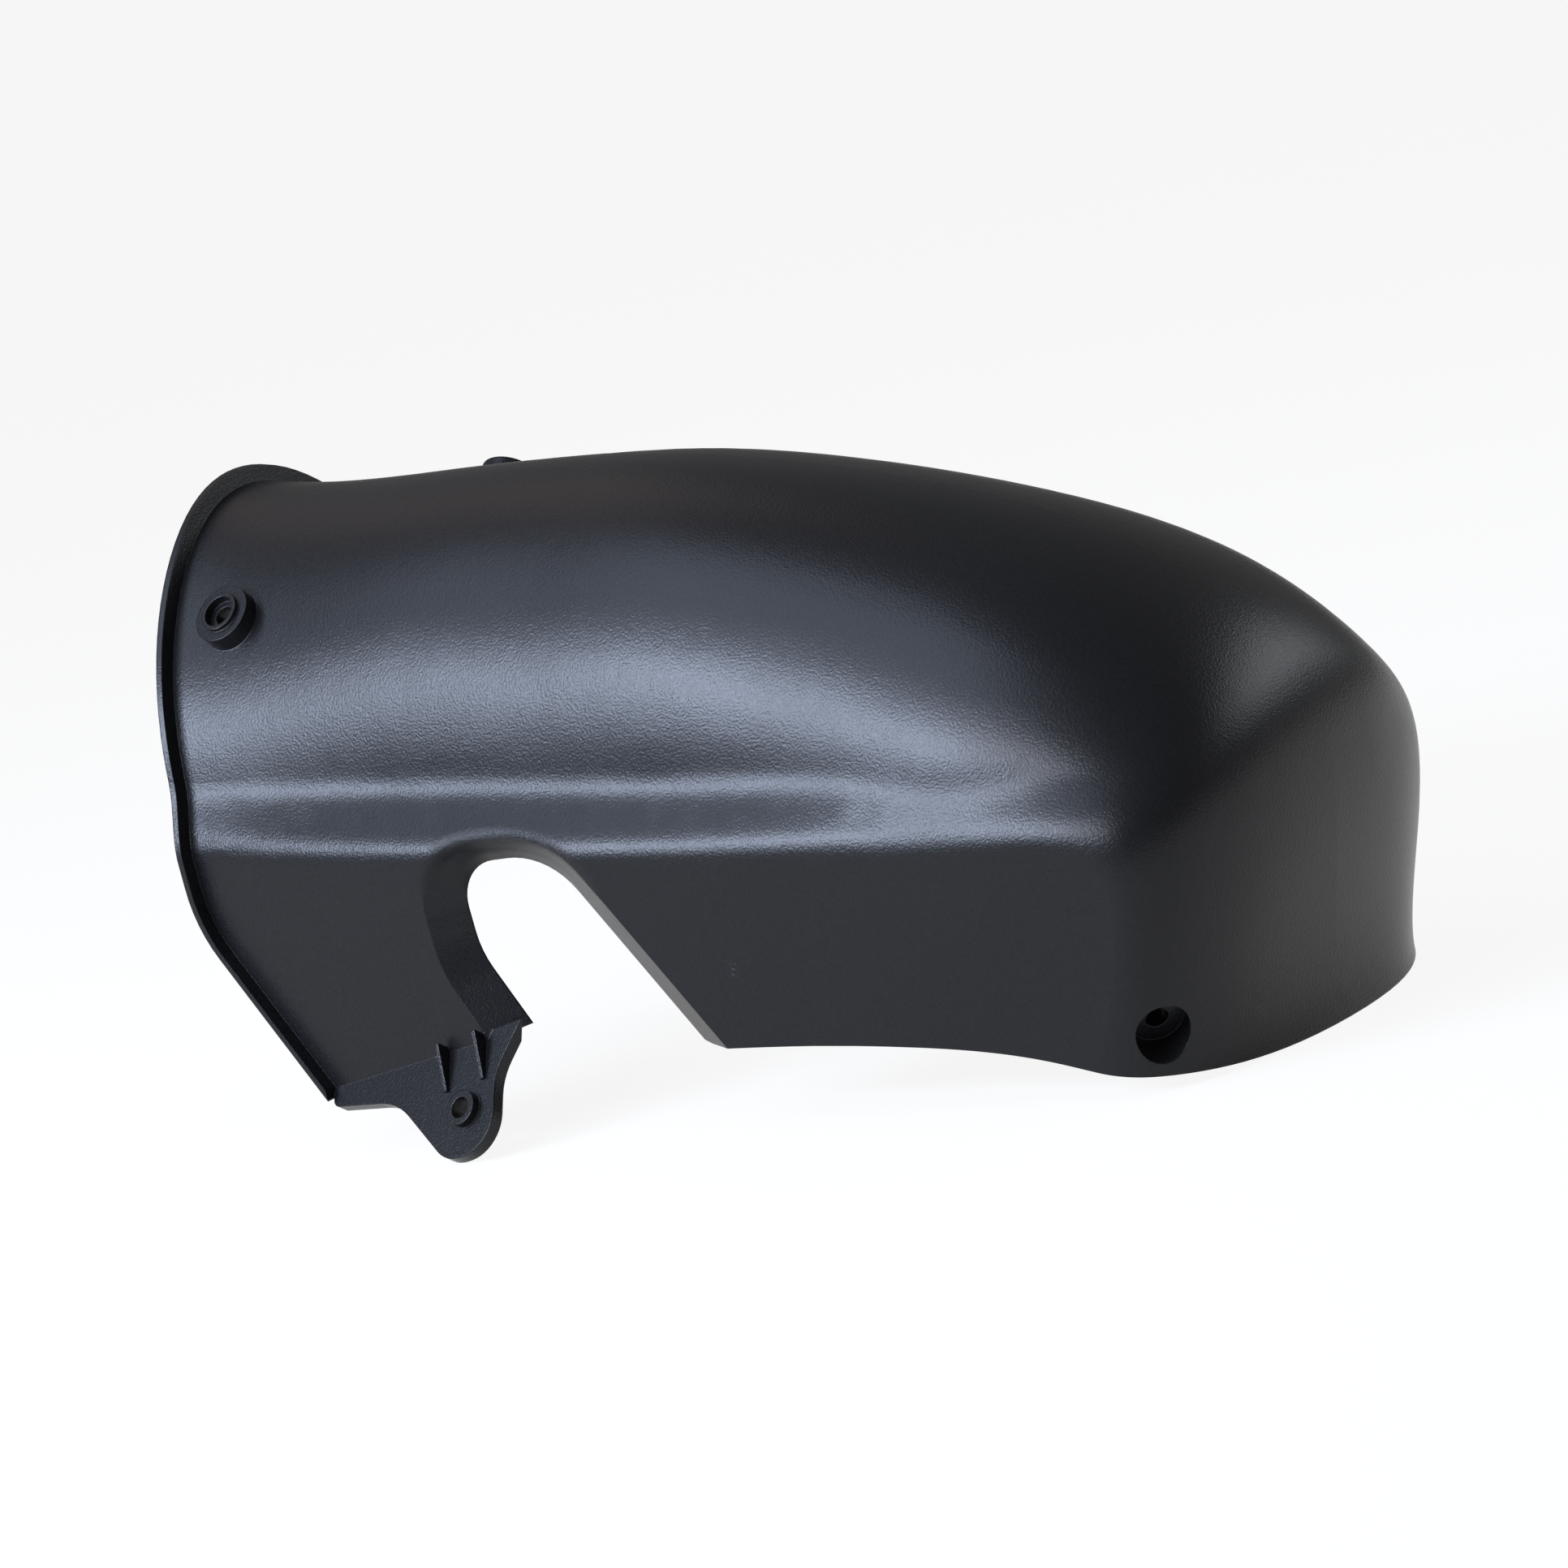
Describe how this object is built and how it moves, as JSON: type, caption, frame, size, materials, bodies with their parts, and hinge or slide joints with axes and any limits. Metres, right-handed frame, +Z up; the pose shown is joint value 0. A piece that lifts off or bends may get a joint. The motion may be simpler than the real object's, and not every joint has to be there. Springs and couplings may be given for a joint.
{
  "type": "motorcycle front mudguard",
  "caption": "Moulded front mudguard with a rounded closed nose, flanged rear opening, cut-outs in the side walls, fixing tabs and shoulder bosses; covers the front wheel.",
  "frame": {"origin": "middle of the box around the part, at the level of its lowest edges", "axes": "+X forward to the nose, +Y to the rider's left, +Z up"},
  "size_m": [0.4064, 0.2336, 0.2194],
  "materials": {
    "moulding": "satin black, finely grained"
  },
  "bodies": {
    "root": {"mudguard": "moulding"}
  },
  "joints": []
}
